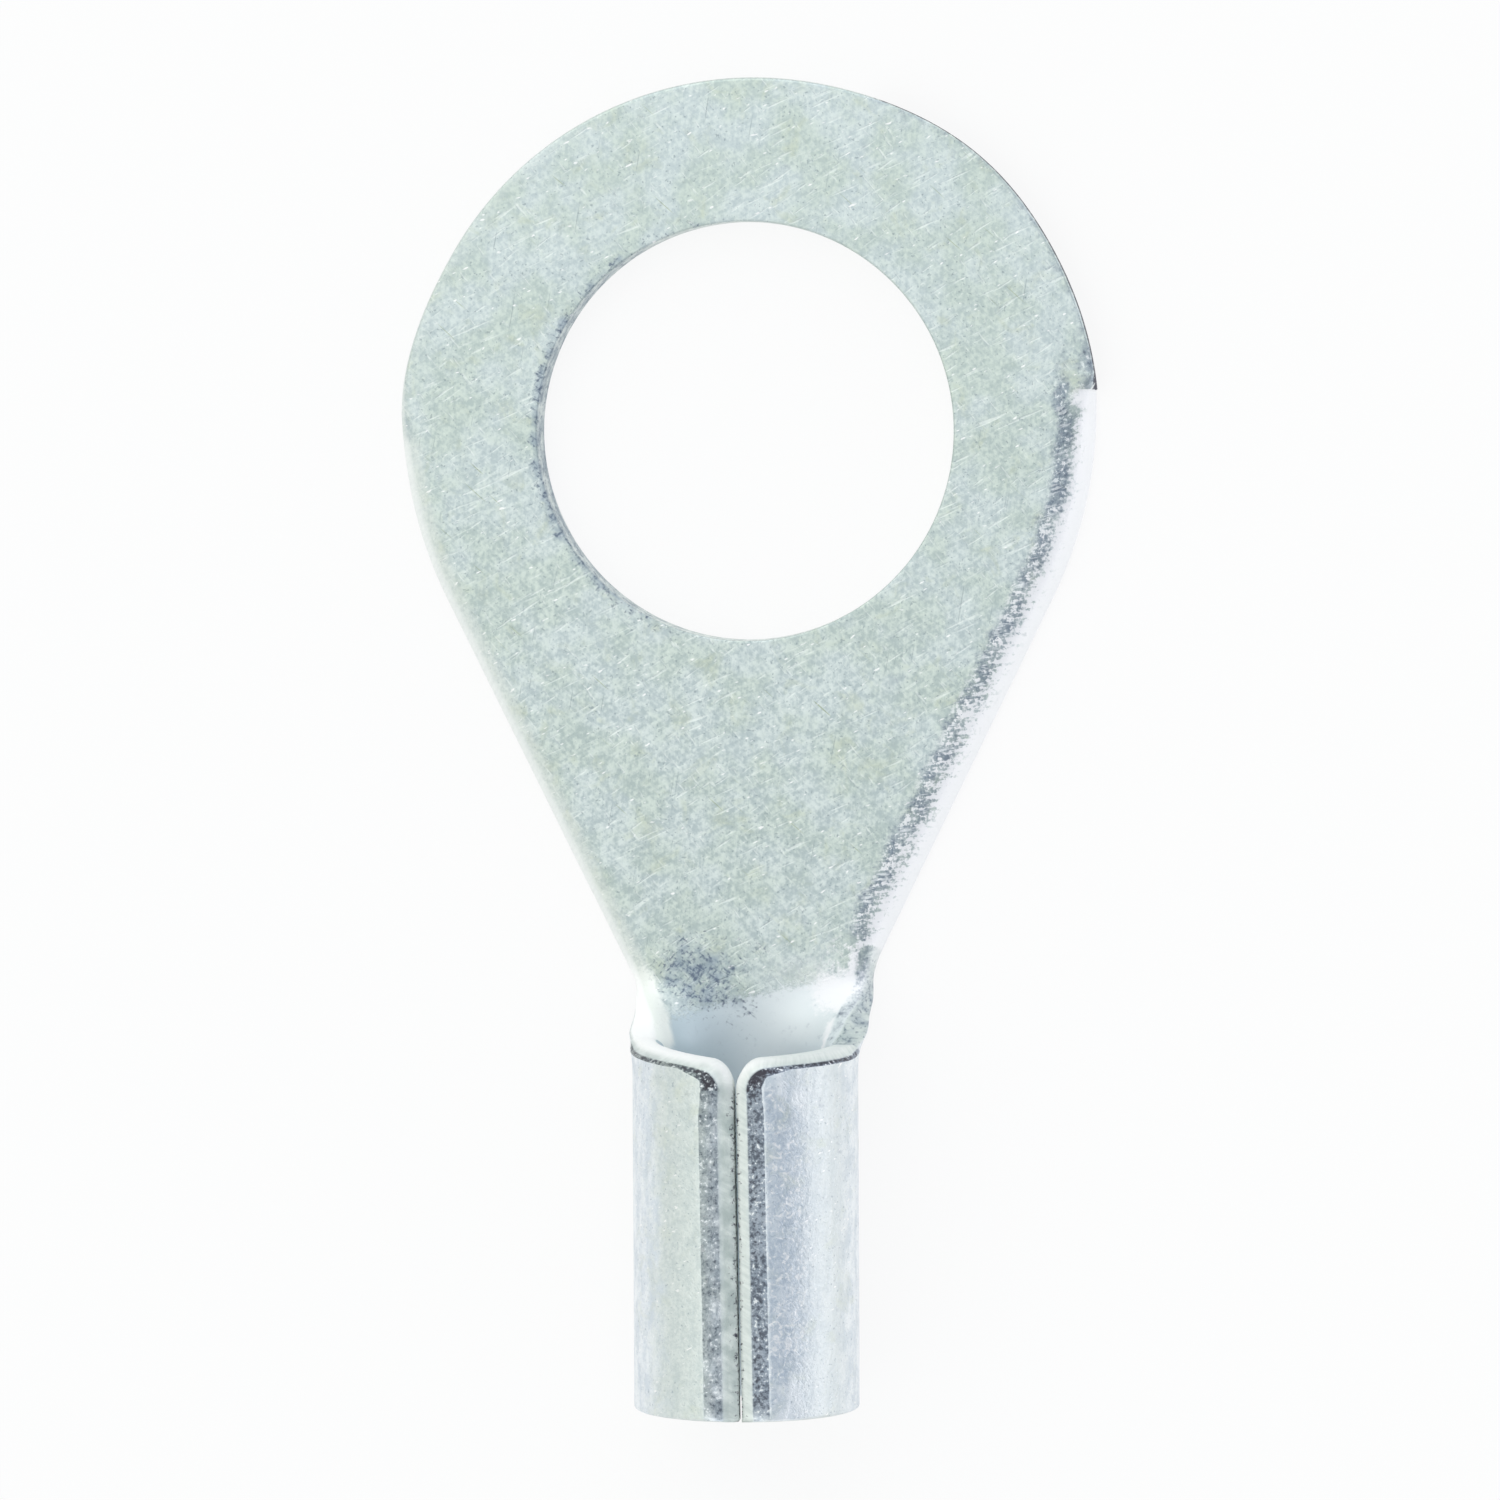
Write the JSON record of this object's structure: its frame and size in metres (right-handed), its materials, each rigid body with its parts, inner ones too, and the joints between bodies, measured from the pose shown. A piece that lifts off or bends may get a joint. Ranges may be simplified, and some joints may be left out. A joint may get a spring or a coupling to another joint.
{
  "type": "ring terminal",
  "caption": "Non-insulated ring terminal: a flat ring tongue for a stud, with a rolled, butted-seam barrel for crimping onto a wire.",
  "frame": {"origin": "on the axis of the stud hole, at the underside of the sheet", "axes": "+Y from the stud hole towards the ring's round end, with the wire barrel towards -Y; +Z out of the side with the barrel's seam; the terminal lies flat on -Z"},
  "size_m": [0.0115, 0.0218, 0.0037],
  "materials": {
    "tin_plate": "matte tin plating on copper sheet, fine grained, with sheared edges"
  },
  "bodies": {
    "root": {"terminal": "tin_plate"}
  },
  "joints": []
}
